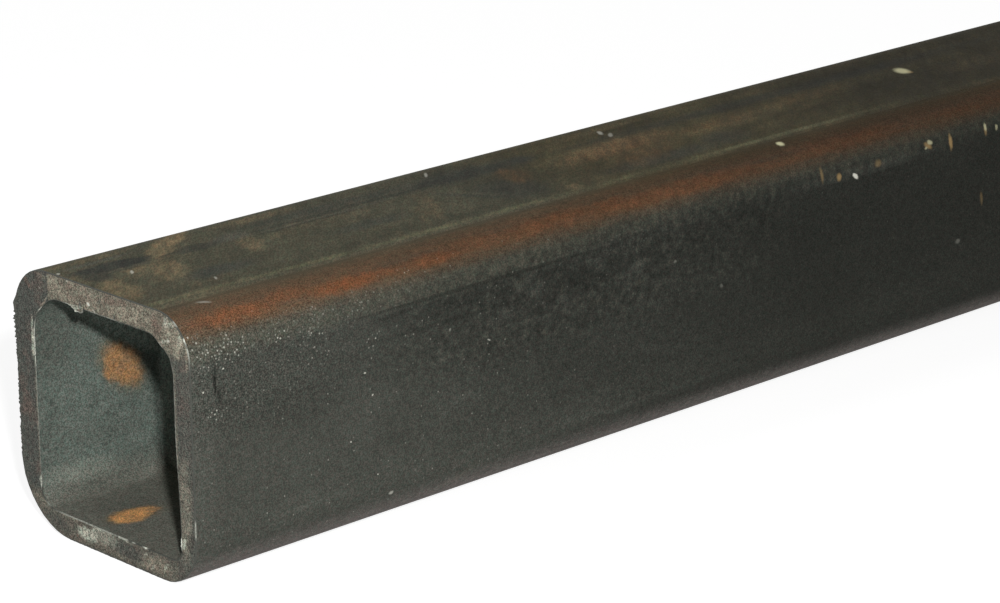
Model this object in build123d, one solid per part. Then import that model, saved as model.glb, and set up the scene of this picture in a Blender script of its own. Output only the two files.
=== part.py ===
"""Square hollow section: one length of cold-formed, seam-welded steel tube.

Millimetres. X runs along the tube, +Y is its back and +Z is up. The origin is on the floor, under the
middle of the tube. The sawn end that shows the section is at -X.
"""
from build123d import *
import os

# Driving dimensions of the stock.
length = 609.6
width = 50.8
height = 50.8
wall = 4.76

# The rolls close each corner a little differently, so each corner has its own two radii.
front_top_outer = 8.4
front_top_inner = 7.3
back_top_outer = 9.4
back_top_inner = 8.2
front_bottom_outer = 9.2
front_bottom_inner = 2.4
back_bottom_outer = 13.8
back_bottom_inner = 5.1

# No corner may be thinner than this, measured along its diagonal.
thinnest_corner = 2.8

# Flash of the seam weld, a low ridge along the inside of the top wall.
seam_from_back = 18.8
seam_width = 2.8
seam_height = 0.8

# A quarter arc cuts a corner back along the diagonal by its radius times this.
DIAGONAL_CUT = 2**0.5 - 1

# Corners of the section as (side, level): side is -1 at the front, +1 at the back, level is -1 at the
# bottom, +1 at the top.
FRONT_TOP = (-1, 1)
BACK_TOP = (1, 1)
FRONT_BOTTOM = (-1, -1)
BACK_BOTTOM = (1, -1)

outer_radii = {
    FRONT_TOP: front_top_outer,
    BACK_TOP: back_top_outer,
    FRONT_BOTTOM: front_bottom_outer,
    BACK_BOTTOM: back_bottom_outer,
}
rolled_inner_radii = {
    FRONT_TOP: front_top_inner,
    BACK_TOP: back_top_inner,
    FRONT_BOTTOM: front_bottom_inner,
    BACK_BOTTOM: back_bottom_inner,
}


def inner_radius(corner):
    """The inner radius of a corner, raised where the metal would be thinner than thinnest_corner."""
    sharp_corner = 2**0.5 * wall
    least = outer_radii[corner] - (sharp_corner - thinnest_corner) / DIAGONAL_CUT
    return max(rolled_inner_radii[corner], least)


def rounded_rectangle(across, up, radii):
    """A rectangle centred on the origin, each of whose corners has its own radius."""
    outline = Rectangle(across, up)
    for (side, level), radius in radii.items():
        place = (side * across / 2, level * up / 2)
        corner = outline.vertices().sort_by_distance(place)[0]
        outline = fillet(corner, radius)
    return outline


def seam_flash():
    """The ridge of weld metal: a low arc under the inside of the top wall, rooted halfway into it."""
    arc_radius = (seam_width**2 / 4 + seam_height**2) / (2 * seam_height)
    across = width / 2 - seam_from_back
    inner_face = height / 2 - wall
    root = wall / 2
    arc = Pos(across, inner_face - seam_height + arc_radius) * Circle(arc_radius)
    strip = Pos(across, inner_face + (root - seam_height) / 2) * Rectangle(seam_width, seam_height + root)
    return arc & strip


def section():
    """The tube's cross-section, centred on the origin: local X is towards the back, local Y is up."""
    outside = rounded_rectangle(width, height, outer_radii)
    inner_radii = {corner: inner_radius(corner) for corner in outer_radii}
    hollow = rounded_rectangle(width - 2 * wall, height - 2 * wall, inner_radii)
    return outside - hollow + seam_flash()


def square_tube():
    """The section drawn out along X, lying on the floor with its middle over the origin."""
    start = Plane(origin=(-length / 2, 0, height / 2), x_dir=(0, 1, 0), z_dir=(1, 0, 0))
    return extrude(start * section(), amount=length)


os.makedirs("parts", exist_ok=True)
export_step(square_tube(), "parts/square_tube.step")
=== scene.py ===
"""A length of seam-welded square steel tube: modelled, finished and staged in Blender, in metres."""

import math

import bmesh
import bpy
from bpy.props import FloatProperty, FloatVectorProperty, PointerProperty
from mathutils import Euler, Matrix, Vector


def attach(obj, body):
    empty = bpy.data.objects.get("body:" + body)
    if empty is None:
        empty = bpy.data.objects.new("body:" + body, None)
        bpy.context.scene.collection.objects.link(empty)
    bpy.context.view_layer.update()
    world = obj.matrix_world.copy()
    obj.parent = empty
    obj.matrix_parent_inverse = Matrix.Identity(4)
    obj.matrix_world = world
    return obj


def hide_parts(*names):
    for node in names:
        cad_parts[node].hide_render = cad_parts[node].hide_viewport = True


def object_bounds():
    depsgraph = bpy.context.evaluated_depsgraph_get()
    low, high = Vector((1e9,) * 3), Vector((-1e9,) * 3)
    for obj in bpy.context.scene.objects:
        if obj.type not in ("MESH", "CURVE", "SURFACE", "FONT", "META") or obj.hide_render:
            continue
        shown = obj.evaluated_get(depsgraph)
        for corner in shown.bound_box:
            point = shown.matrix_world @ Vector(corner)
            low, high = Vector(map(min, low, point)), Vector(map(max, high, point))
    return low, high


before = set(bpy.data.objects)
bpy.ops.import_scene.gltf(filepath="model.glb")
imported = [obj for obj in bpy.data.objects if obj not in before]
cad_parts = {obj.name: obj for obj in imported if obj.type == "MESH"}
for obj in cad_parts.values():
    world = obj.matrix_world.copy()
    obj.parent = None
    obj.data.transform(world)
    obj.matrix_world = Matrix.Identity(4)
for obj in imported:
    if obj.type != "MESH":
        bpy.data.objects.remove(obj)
CAD_LOW, CAD_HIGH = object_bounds()
CAD_SIZE = CAD_HIGH - CAD_LOW

bl_info = {
    "name": "Square steel tube",
    "version": (1, 0, 0),
    "blender": (4, 5, 0),
    "location": "3D View > Sidebar > Tube",
    "description": "Models, finishes and stages a length of seam-welded square steel tube",
    "category": "Mesh",
}

MM = 0.001

# Points that are this near a plane lie in it.
TOUCH = 0.001 * MM

# Finishes of the tube's faces. Each number is also the place of that finish on the piece.
SKIN, BORE, CUT, RIM = range(4)

# Corners of the section: side is -1 at the front and +1 at the back, level is -1 at the bottom.
FRONT_TOP = (-1, 1)
BACK_TOP = (1, 1)
FRONT_BOTTOM = (-1, -1)
BACK_BOTTOM = (1, -1)
CORNERS = (FRONT_TOP, BACK_TOP, FRONT_BOTTOM, BACK_BOTTOM)
WAY_ROUND = (FRONT_TOP, FRONT_BOTTOM, BACK_BOTTOM, BACK_TOP)

# The middle of the mouth, the cut end that shows the section.
MOUTH = Vector((CAD_LOW.x, 0.0, CAD_SIZE.z / 2))


def length_value(name, description, default):
    """A property for a size on the tube, in metres."""
    return FloatProperty(name=name, description=description, default=default, min=0.0, unit="LENGTH",
                         precision=5)


def colour_value(name, description, default):
    """A property for a linear colour."""
    return FloatVectorProperty(name=name, description=description, default=default, size=3, min=0.0,
                               max=1.0, subtype="COLOR")


class TubeStock(bpy.types.PropertyGroup):
    """Sizes of the rolled section and of its cut ends."""

    width: length_value("Width", "Outside, front to back", CAD_SIZE.y)
    height: length_value("Height", "Outside, floor to top", CAD_SIZE.z)
    length: length_value("Length", "From cut end to cut end", CAD_SIZE.x)
    wall: length_value("Wall", "Thickness of the strip", 4.76 * MM)
    outer_radii: FloatVectorProperty(
        name="Outer corners", description="Radii at front top, back top, front bottom, back bottom",
        default=(8.4 * MM, 9.4 * MM, 9.2 * MM, 13.8 * MM), size=4, unit="LENGTH", precision=5)
    inner_radii: FloatVectorProperty(
        name="Inner corners", description="Radii at front top, back top, front bottom, back bottom",
        default=(7.3 * MM, 8.2 * MM, 2.4 * MM, 5.1 * MM), size=4, unit="LENGTH", precision=5)
    seam_from_back: length_value("Seam from back", "From the back face to the weld", 18.8 * MM)
    seam_width: length_value("Seam width", "Width of the weld flash in the bore", 2.8 * MM)
    seam_height: length_value("Seam height", "How far the flash stands into the bore", 0.8 * MM)
    rim_break: length_value("Rim", "Width of the worn edge round each cut", 0.2 * MM)
    lip: length_value("Lip", "How far the saw dragged the mouth's inner edges inwards", 1.0 * MM)
    burr_height: length_value("Burr", "Height of the saw's heaviest burr", 0.75 * MM)
    burr_grain: length_value("Burr grain", "Size of the burr's teeth", 0.3 * MM)


class TubeFinish(bpy.types.PropertyGroup):
    """Colours of the steel."""

    scale_side: colour_value("Side scale", "Blue-grey mill scale of the sides", (0.070, 0.073, 0.061))
    scale_top: colour_value("Top scale", "Olive mill scale of the flat top", (0.087, 0.084, 0.054))
    scale_brown: colour_value("Browned scale", "The top's scale away from the cut", (0.082, 0.071, 0.035))
    cool: colour_value("Cool scale", "Blue-grey smears on the top", (0.063, 0.067, 0.053))
    weld: colour_value("Weld band", "Dark, blued band along the seam weld", (0.040, 0.042, 0.034))
    tan: colour_value("Tan stain", "Dried mud and oil", (0.26, 0.20, 0.112))
    brown: colour_value("Brown stain", "Thin rust on the flat top", (0.19, 0.115, 0.056))
    pale: colour_value("Pale line", "Scuffed line where the rolls pressed", (0.195, 0.19, 0.105))
    rust: colour_value("Rust", "Bright rust along the upper corner", (0.25, 0.095, 0.040))
    rust_haze: colour_value("Rust haze", "Dull rust round the bright line", (0.142, 0.088, 0.05))
    # Rubbed scale; on the upper corner it is laid wide and pale enough to be a painted sheen of the lamp as
    # well.
    scuff_and_sheen: colour_value("Scuffed corner", "Rubbed scale on the corners", (0.098, 0.098, 0.074))
    soot: colour_value("Dark streak", "Thick, nearly black scale", (0.022, 0.024, 0.02))
    # A painted reflection of the pale floor along the lower corner.
    low_corner_reflection: colour_value("Lower corner", "Rubbed band on the lower corner", (0.165, 0.15, 0.135))
    # Bare chips, and the painted glints of bright specks.
    chips_and_glints: colour_value("Glint", "Bare specks and chips", (0.7, 0.69, 0.6))
    yellow_chip: colour_value("Yellow chip", "Chips gone yellow on the corner", (0.75, 0.72, 0.45))
    brown_chip: colour_value("Brown chip", "Rusty chips on the corner", (0.40, 0.27, 0.12))
    bore_scale: colour_value("Bore scale", "Green-grey scale in the bore", (0.135, 0.160, 0.136))
    bore_dull: colour_value("Dulled bore", "Darker scale in the bore", (0.078, 0.084, 0.070))
    bore_rust: colour_value("Bore rust", "Orange rust in the bore", (0.40, 0.21, 0.088))
    # Rust on the floor of the bore, painted about twice as bright as the wall's rust: painted light for the
    # grazing light on the floor.
    floor_rust_and_light: colour_value("Floor rust", "Rust lying on the floor of the bore", (0.74, 0.39, 0.15))
    bore_rim: colour_value("Bore rust rim", "Olive-brown edge of the bore's rust", (0.17, 0.125, 0.062))
    bore_floor: colour_value("Bore floor", "Settled dust on the floor of the bore", (0.17, 0.172, 0.142))
    cut_steel: colour_value("Cut steel", "Dulled steel of the cut", (0.182, 0.166, 0.126))
    cut_light: colour_value("Light cut", "Lighter parts of the cut", (0.31, 0.285, 0.215))
    cut_dark: colour_value("Dark cut", "Darker parts of the cut", (0.077, 0.081, 0.07))
    cut_pale: colour_value("Pale cut", "Brightest parts of the cut", (0.5, 0.52, 0.42))
    cut_red: colour_value("Browned cut", "Reddish parts of the cut", (0.17, 0.115, 0.09))
    # Bare steel of the burr, pale enough to be a painted highlight of its glints too.
    burr: colour_value("Burr", "Bare steel of the burr", (0.72, 0.74, 0.64))


class StudioSetting(bpy.types.PropertyGroup):
    """Camera and lamps."""

    lens: FloatProperty(name="Lens", description="Focal length of the camera", default=126.15,
                        unit="CAMERA")
    key_power: FloatProperty(name="Key power", description="Power of the lamp beside the camera",
                             default=5.0, unit="POWER")
    key_size: length_value("Key size", "Width of the lamp beside the camera", 0.037)
    key_distance: length_value("Key distance", "From the tube's mouth to that lamp", 0.75)
    fill_power: FloatProperty(name="Fill power", description="Power of the soft lamp behind", default=6.0,
                              unit="POWER")
    fill_size: length_value("Fill size", "Width of the soft lamp behind", 1.2)
    fill_distance: length_value("Fill distance", "From the tube's mouth to the soft lamp", 1.8)


# ---------------------------------------------------------------- modelling helpers


def work_on(piece):
    """Makes a piece the only selected object."""
    if bpy.context.object and bpy.context.object.mode != "OBJECT":
        bpy.ops.object.mode_set(mode="OBJECT")
    bpy.ops.object.select_all(action="DESELECT")
    piece.select_set(True)
    bpy.context.view_layer.objects.active = piece


def pick(piece, kind, test):
    """In edit mode, selects the vertices, edges or faces that pass a test, and nothing else."""
    bpy.ops.mesh.select_mode(type=kind)
    bpy.ops.mesh.select_all(action="DESELECT")
    mesh = bmesh.from_edit_mesh(piece.data)
    parts = {"VERT": mesh.verts, "EDGE": mesh.edges, "FACE": mesh.faces}[kind]
    for part in parts:
        part.select_set(test(part))
    mesh.select_flush_mode()
    bmesh.update_edit_mesh(piece.data)


def nearest(piece, place):
    """In edit mode, a test that only the vertex nearest to a place passes."""
    mesh = bmesh.from_edit_mesh(piece.data)
    best = min(mesh.verts, key=lambda vertex: (vertex.co - place).length).index
    return lambda vertex: vertex.index == best


def ease(value, low, high):
    """0 at low, 1 at high and smooth between."""
    share = min(max((value - low) / (high - low), 0.0), 1.0)
    return share * share * (3 - 2 * share)


# ---------------------------------------------------------------- finishes


class Value:
    """A socket of a node tree, so that sums of sockets and numbers can be written out."""

    def __init__(self, finish, socket):
        self.finish = finish
        self.socket = socket

    def work(self, operation, first, second):
        return self.finish.node("ShaderNodeMath", {"operation": operation}, {0: first, 1: second})

    def __add__(self, other):
        return self.work("ADD", self, other)

    __radd__ = __add__

    def __sub__(self, other):
        return self.work("SUBTRACT", self, other)

    def __rsub__(self, other):
        return self.work("SUBTRACT", other, self)

    def __mul__(self, other):
        return self.work("MULTIPLY", self, other)

    __rmul__ = __mul__

    def __or__(self, other):
        """The higher of the two."""
        return self.work("MAXIMUM", self, other)


# The finest grains of every finish, in millimetres.
FINE_GRAIN = 0.26

# The grains that turn its colour, in millimetres, and what they multiply it by.
HUE_GRAIN = 0.5
GREEN_GRAIN = (0.91, 1.0, 1.0)
RED_GRAIN = (1.09, 0.985, 1.01)

# How the grains of the mill scale are smeared on the flat top, in degrees from the tube's length.
SMEAR_TURN = 46.0

# Marks reach this far in depth, so that only where they lie on the face counts.
DEEP = 1000.0


class Finish:
    """The node tree of one material, or of the world. Lengths in it are millimetres."""

    def __init__(self, name, tree=None):
        if tree is None:
            self.material = bpy.data.materials.new(name)
            self.material.use_nodes = True
            tree = self.material.node_tree
            self.shader = tree.nodes["Principled BSDF"]
        self.tree = tree

    def plug(self, socket, value):
        """Gives a socket a value, or links it to one."""
        if isinstance(value, Value):
            self.tree.links.new(value.socket, socket)
        elif socket.type == "RGBA":
            socket.default_value = (*tuple(value)[:3], 1.0)
        else:
            socket.default_value = value

    def node(self, kind, settings=None, sockets=None, output=0):
        """Adds a node: first its settings, then the values or links of its sockets. Gives one output."""
        made = self.tree.nodes.new(kind)
        for name, value in (settings or {}).items():
            setattr(made, name, value)
        for name, value in (sockets or {}).items():
            self.plug(made.inputs[name], value)
        return Value(self, made.outputs[output])

    def seen(self):
        """1 for what is seen straight, in a reflection or through glass, and 0 for light itself."""
        path = "ShaderNodeLightPath"
        straight = self.node(path, output="Is Camera Ray")
        mirrored = self.node(path, output="Is Glossy Ray")
        through = self.node(path, output="Is Transmission Ray")
        return straight | mirrored | through

    def place(self):
        """Where a point of the piece lies, from the tube's origin."""
        point = self.node("ShaderNodeTexCoord", output="Object")
        return self.node("ShaderNodeVectorMath", {"operation": "SCALE"}, {0: point, "Scale": 1 / MM})

    def girth(self):
        """Where a point of the skin lies: along the tube, and round it from the top's back edge."""
        point = self.node("ShaderNodeUVMap", {"uv_map": GIRTH})
        return self.node("ShaderNodeVectorMath", {"operation": "SCALE"}, {0: point, "Scale": 1 / MM})

    def part(self, vector, axis):
        return self.node("ShaderNodeSeparateXYZ", sockets={0: vector}, output=axis)

    def drag(self, vector, turn, reach):
        """The vector drawn out along one level direction, so that grains on it are smears."""
        return self.node("ShaderNodeMapping", {"vector_type": "TEXTURE"},
                         {"Vector": vector, "Rotation": (0.0, 0.0, math.radians(turn)),
                          "Scale": (reach, 1.0, 1.0)})

    def spread(self, vector, factors):
        """The vector with each part multiplied by its own factor."""
        return self.node("ShaderNodeVectorMath", {"operation": "MULTIPLY"}, {0: vector, 1: factors})

    def noise(self, vector, size, detail=2.0, roughness=0.5):
        """Soft noise of a grain size, about 0.5."""
        return self.node("ShaderNodeTexNoise",
                         sockets={"Vector": vector, "Scale": 1 / size, "Detail": detail,
                                  "Roughness": roughness})

    def grit(self, vector, size):
        """Noise of a grain size that is mostly near 0 or near 1."""
        return self.rise(self.noise(vector, size, 1.0, 0.7), 0.34, 0.66)

    def stray(self, vector, size, reach):
        """The vector moved about by noise, so that the edges of spots on it are ragged."""
        noise = self.node("ShaderNodeTexNoise", sockets={"Vector": vector, "Scale": 1 / size, "Detail": 4.0,
                                                         "Roughness": 0.62}, output=1)
        centred = self.node("ShaderNodeVectorMath", {"operation": "SUBTRACT"}, {0: noise, 1: (0.5,) * 3})
        moved = self.node("ShaderNodeVectorMath", {"operation": "SCALE"}, {0: centred, "Scale": 2 * reach})
        return self.node("ShaderNodeVectorMath", {"operation": "ADD"}, {0: vector, 1: moved})

    def rise(self, value, low, high, start=0.0, end=1.0):
        """Start up to low, end from high on, and smooth between."""
        return self.node("ShaderNodeMapRange", {"interpolation_type": "SMOOTHSTEP"},
                         {0: value, 1: low, 2: high, 3: start, 4: end})

    def band(self, value, low, high, soft):
        """1 between low and high, and 0 beyond a soft edge."""
        middle = (low + high) / 2
        half = (high - low) / 2
        off = self.node("ShaderNodeMath", {"operation": "ABSOLUTE"}, {0: value - middle})
        return self.rise(off, half - soft / 2, half + soft / 2, 1.0, 0.0)

    def spots(self, vector, table, soft=0.35):
        """Ovals, each (x, y, half length, half width, turn in degrees, strength)."""
        marks = None
        reach = 1 + soft
        for x, y, half_length, half_width, turn, strength in table:
            local = self.node("ShaderNodeMapping", {"vector_type": "TEXTURE"},
                              {"Vector": vector, "Location": (x, y, 0.0),
                               "Rotation": (0.0, 0.0, math.radians(turn)),
                               "Scale": (half_length * reach, half_width * reach, DEEP)})
            inside = self.node("ShaderNodeTexGradient", {"gradient_type": "SPHERICAL"},
                               {"Vector": local}, output=1)
            mark = self.rise(inside, 0.0, 2 * soft / reach, 0.0, strength)
            marks = mark if marks is None else marks | mark
        return marks

    def mix(self, base, colour, mask):
        """One colour laid over another."""
        return self.node("ShaderNodeMix", {"data_type": "RGBA"}, {0: mask, 6: base, 7: colour}, 2)

    def dim(self, colour, level):
        """A colour made lighter or darker."""
        return self.node("ShaderNodeVectorMath", {"operation": "SCALE"}, {0: colour, "Scale": level})

    def grains(self, colour, place, depth):
        """A colour broken up by fine grains, lighter and darker, warmer and greener."""
        hue = self.mix(GREEN_GRAIN, RED_GRAIN, self.grit(self.spread(place, (1.0, -1.0, 1.0)), HUE_GRAIN))
        level = 1.0 + (self.grit(place, FINE_GRAIN) - 0.5) * depth
        return self.dim(self.spread(colour, hue), level)

    def specks(self, vector, spacing, size, share):
        """Small round specks: one in each cell of a grid of cells, in a share of the cells, some faint."""
        cells = {"Vector": vector, "Scale": 1 / spacing}
        level = {"feature": "F1", "voronoi_dimensions": "2D"}
        off = self.node("ShaderNodeTexVoronoi", level, cells)
        lot = self.node("ShaderNodeTexVoronoi", level, cells, output="Color")
        chosen = self.rise(self.part(lot, "X"), 1 - share, 1.01 - share)
        shape = self.rise(off, size / spacing, size / spacing / 3)
        bright = self.part(lot, "Y")
        return shape * chosen * (0.15 + 0.85 * bright * bright)

    def finish(self, colour, roughness, relief, depth, gloss, metallic=0.0):
        """Sends the worked out colour, roughness and relief to the shader."""
        normal = self.node("ShaderNodeBump", sockets={"Height": relief, "Distance": depth * MM,
                                                      "Strength": 1.0})
        self.plug(self.shader.inputs["Base Color"], colour)
        self.plug(self.shader.inputs["Roughness"], roughness)
        self.plug(self.shader.inputs["Metallic"], metallic)
        self.plug(self.shader.inputs["Normal"], normal)
        self.plug(self.shader.inputs["Specular IOR Level"], gloss)
        return self.material


# Marks on the skin, in millimetres: each is along from the near cut, round from the back edge of the
# flat top, half length, half width, turn in degrees and strength.
TAN_STAINS = (
    (3.0, 19.0, 5.8, 3.0, -75, 0.75),
    (8.0, 0.2, 9.0, 1.2, 0, 0.3),
    (12.3, 11.4, 2.6, 1.1, -20, 0.8),
    (16.5, 15.6, 6.6, 3.0, -65, 0.65),
    (24.0, 4.0, 6.5, 2.3, -42, 0.95),
    (29.5, 0.4, 5.5, 2.0, -38, 1.0),
    (37.5, 13.0, 5.0, 2.2, -65, 0.45),
    (49.0, 0.8, 9.0, 1.6, 0, 0.4),
    (73.5, 21.0, 6.5, 1.2, -60, 0.25),
    (78.0, 18.0, 8.5, 1.8, -60, 0.35),
    (107.0, 28.5, 2.2, 1.8, -40, 0.6),
    (134.0, 11.5, 14.0, 3.6, -8, 0.45),
    (140.0, 1.5, 12.0, 1.6, 0, 0.3),
    (175.0, 16.0, 12.0, 3.2, -10, 0.2),
    (245.0, 20.0, 14.0, 4.0, 0, 0.3),
)
BROWN_STAINS = (
    (103.2, 17.5, 2.0, 0.6, -60, 0.7),
    (104.5, 14.0, 5.0, 2.8, -62, 0.75),
    (134.0, 14.0, 14.0, 3.8, -4, 0.75),
    (134.0, 21.0, 10.0, 4.0, -20, 0.5),
    (162.0, 15.0, 12.0, 3.0, -6, 0.35),
    (192.0, 13.0, 12.0, 3.0, 0, 0.25),
)
COOL_SMEARS = (
    (23.0, 22.0, 7.5, 2.4, 0, 0.8),
    (62.0, 19.0, 8.0, 2.2, 0, 0.6),
    (64.0, 4.8, 22.0, 2.0, 0, 0.6),
    (89.5, 19.9, 9.5, 1.0, 54, 0.6),
    (97.0, 21.0, 7.0, 6.0, 50, 0.6),
    (98.0, 6.5, 14.0, 3.6, 0, 0.7),
    (113.0, 6.5, 3.6, 2.2, 0, 0.8),
    (135.0, 26.0, 16.0, 3.0, 0, 0.6),
    (155.0, 24.0, 6.0, 4.0, 0, 0.5),
    (195.0, 7.0, 55.0, 2.2, 0, 0.5),
)
WELD_DARKER = (
    (4.8, 9.4, 3.2, 3.2, -20, 0.8),
    (8.0, 9.6, 6.0, 0.4, 0, 0.6),
    (10.5, 6.4, 9.0, 2.2, 2, 1.0),
    (26.5, 7.7, 6.5, 0.35, -4, 0.7),
    (29.0, 8.3, 5.4, 1.9, -4, 0.75),
    (55.0, 10.1, 13.0, 0.35, 0, 0.6),
    (64.0, 6.4, 22.0, 2.4, 0, 0.2),
    (64.0, 7.8, 23.0, 0.9, 0, 0.7),
    (98.0, 6.8, 14.0, 2.4, 0, 0.45),
    (143.0, 7.6, 13.0, 1.6, 0, 0.3),
    (180.0, 7.5, 60.0, 1.6, 0, 0.2),
)
WELD_PALER = (
    (6.0, 34.4, 5.0, 1.0, 0, 0.4),
    (10.0, 2.4, 8.5, 0.7, 0, 0.8),
    (12.0, 8.9, 7.0, 0.35, 0, 0.5),
    (37.6, 7.4, 4.6, 1.9, -8, 0.8),
    (60.0, 9.4, 20.0, 0.45, 0, 0.7),
    (84.5, 5.5, 2.2, 0.7, -50, 0.5),
)
# Along the pressed line: round is counted from the line.
PRESSED = (
    (4.0, 0.2, 5.0, 0.8, 0, 0.5),
    (15.0, 0.0, 12.0, 0.8, 0, 0.42),
    (27.0, 0.2, 5.0, 0.8, 0, 0.5),
    (38.0, 0.0, 13.0, 0.7, 0, 0.55),
    (65.0, 0.0, 12.0, 0.75, 0, 0.7),
    (88.0, 0.0, 11.0, 0.75, 0, 0.75),
    (118.0, 0.0, 5.0, 0.7, 0, 0.55),
    (120.0, 0.0, 90.0, 1.1, 0, 0.28),
    (166.0, 0.0, 24.0, 0.9, 0, 0.85),
)
RUST_BRIGHTER = (
    (12.5, 39.2, 9.0, 1.5, 0, 0.85),
    (24.5, 38.4, 6.0, 1.2, 0, 0.55),
    (38.5, 39.4, 8.0, 1.3, 0, 1.0),
    (47.5, 39.3, 5.0, 0.8, 0, 0.55),
    (60.5, 39.2, 6.0, 1.2, 0, 0.8),
    (72.0, 38.6, 9.0, 1.4, 0, 0.4),
    (90.0, 38.6, 14.0, 1.6, 0, 0.55),
    (107.0, 38.6, 5.0, 1.5, 0, 0.65),
    (125.0, 39.2, 26.0, 1.6, 0, 0.55),
    (176.0, 38.8, 17.0, 1.8, 0, 0.45),
    (215.0, 39.0, 26.0, 1.6, 0, 0.25),
)
DARK_STREAKS = (
    (71.0, 46.4, 34.0, 0.4, 0, 0.55),
    (48.0, 47.6, 5.0, 0.5, -3, 0.4),
    (60.0, 51.8, 17.0, 0.5, 0, 0.4),
    (5.4, 49.8, 2.9, 0.35, 88, 1.0),
    (6.4, 53.2, 1.5, 0.4, 80, 0.8),
)
# Wide areas where the colour is darker or lighter.
DARKER = (
    # On the flat top.
    (13.0, 26.8, 7.0, 1.6, 0, 0.2),
    (22.0, 21.5, 9.0, 4.0, -60, 0.07),
    (60.0, 27.4, 44.0, 1.5, 0, 0.14),
    (64.0, 9.6, 20.0, 1.6, 0, 0.1),
    (93.0, 8.0, 9.0, 2.6, 0, 0.3),
    (97.0, 26.0, 8.0, 2.0, 0, 0.15),
    (98.0, 9.0, 9.0, 13.0, 0, 0.2),
    (99.0, 22.5, 8.0, 2.2, 45, 0.25),
    (102.0, 25.2, 8.0, 2.6, 0, 0.22),
    (108.0, 21.0, 14.0, 8.0, 0, 0.25),
    (110.5, 12.0, 6.0, 1.2, -62, 0.25),
    (112.0, 17.5, 9.0, 1.6, -35, 0.35),
    (122.0, 24.0, 10.0, 2.0, -20, 0.22),
    (123.5, 15.0, 6.0, 0.9, -62, 0.3),
    (130.5, 20.0, 6.0, 1.0, -62, 0.25),
    (137.0, 7.5, 13.0, 2.2, 0, 0.18),
    (138.5, 15.5, 6.0, 1.0, -62, 0.25),
    (150.0, 3.5, 12.0, 1.4, 0, 0.3),
    (155.0, 7.0, 34.0, 3.5, 0, 0.14),
    (158.0, 23.0, 12.0, 2.0, -8, 0.2),
    (171.0, 8.5, 13.0, 1.6, 4, 0.3),
    (186.0, 20.5, 12.0, 2.4, 6, 0.25),
    (206.0, 5.0, 16.0, 2.2, 0, 0.3),
    (214.0, 18.0, 14.0, 3.0, 0, 0.2),
    (215.0, 22.0, 20.0, 6.0, 0, 0.12),
    (232.0, 24.0, 12.0, 2.0, 0, 0.2),
    # Along the upper corner.
    (45.0, 36.6, 34.0, 1.6, 0, 0.05),
    (52.0, 39.2, 18.0, 2.0, 0, 0.1),
    (62.0, 43.6, 24.0, 2.6, 0, 0.12),
    (63.5, 39.4, 5.0, 1.6, 0, 0.1),
    (112.0, 44.2, 50.0, 1.8, 0, 0.14),
    (175.0, 34.8, 55.0, 3.2, 0, 0.2),
    # On the side.
    (25.0, 59.0, 9.0, 4.0, 0, 0.14),
    (51.0, 69.0, 8.0, 5.0, 0, 0.14),
    (74.0, 48.4, 34.0, 2.2, 0, 0.16),
    (74.0, 74.0, 18.0, 5.0, 0, 0.17),
    (83.0, 52.5, 9.0, 2.0, 0, 0.12),
    (96.0, 50.5, 12.0, 3.5, 0, 0.2),
    (126.0, 49.8, 14.0, 3.4, 0, 0.15),
    (142.0, 50.0, 12.0, 5.0, 0, 0.1),
)
LIGHTER = (
    # On the flat top.
    (40.0, 14.5, 7.0, 3.0, -60, 0.12),
    (44.0, 7.8, 8.0, 2.0, 0, 0.18),
    (92.0, 20.5, 5.0, 1.0, 54, 0.2),
    (106.0, 24.8, 5.0, 1.0, -30, 0.2),
    (117.0, 12.5, 5.0, 1.0, -62, 0.2),
    (128.0, 16.5, 7.0, 1.0, -62, 0.3),
    (133.0, 13.0, 6.0, 0.9, -62, 0.3),
    (138.0, 15.0, 14.0, 6.0, 0, 0.1),
    (158.0, 17.5, 14.0, 1.4, 4, 0.22),
    (162.0, 30.7, 15.0, 1.8, 0, 0.22),
    (182.0, 14.5, 12.0, 1.4, 0, 0.2),
    (202.0, 30.6, 15.0, 2.0, 0, 0.12),
    (222.0, 12.2, 26.0, 2.4, 0, 0.25),
    # Along the upper corner.
    (95.0, 32.5, 105.0, 1.4, 0, 0.26),
    (180.0, 46.0, 20.0, 1.0, 0, 0.4),
    # On the side.
    (2.0, 62.0, 3.5, 24.0, 0, 0.15),
    (26.0, 79.0, 9.0, 3.0, 0, 0.1),
    (27.5, 78.8, 8.0, 0.8, 0, 0.25),
    (70.8, 49.5, 1.6, 0.8, 0, 0.35),
    (76.0, 54.0, 4.0, 1.0, -10, 0.2),
    (80.5, 48.8, 2.2, 1.4, -20, 0.35),
    (84.0, 51.0, 3.0, 1.4, 30, 0.3),
    (91.0, 54.5, 2.4, 1.2, 60, 0.25),
    (100.0, 49.5, 3.4, 1.2, 20, 0.25),
    (111.0, 52.5, 3.0, 1.4, -20, 0.25),
    (120.0, 50.5, 2.6, 1.2, 40, 0.2),
    (122.0, 79.8, 28.0, 0.8, 0, 0.3),
    (170.0, 79.0, 60.0, 5.0, 0, 0.15),
)
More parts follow.
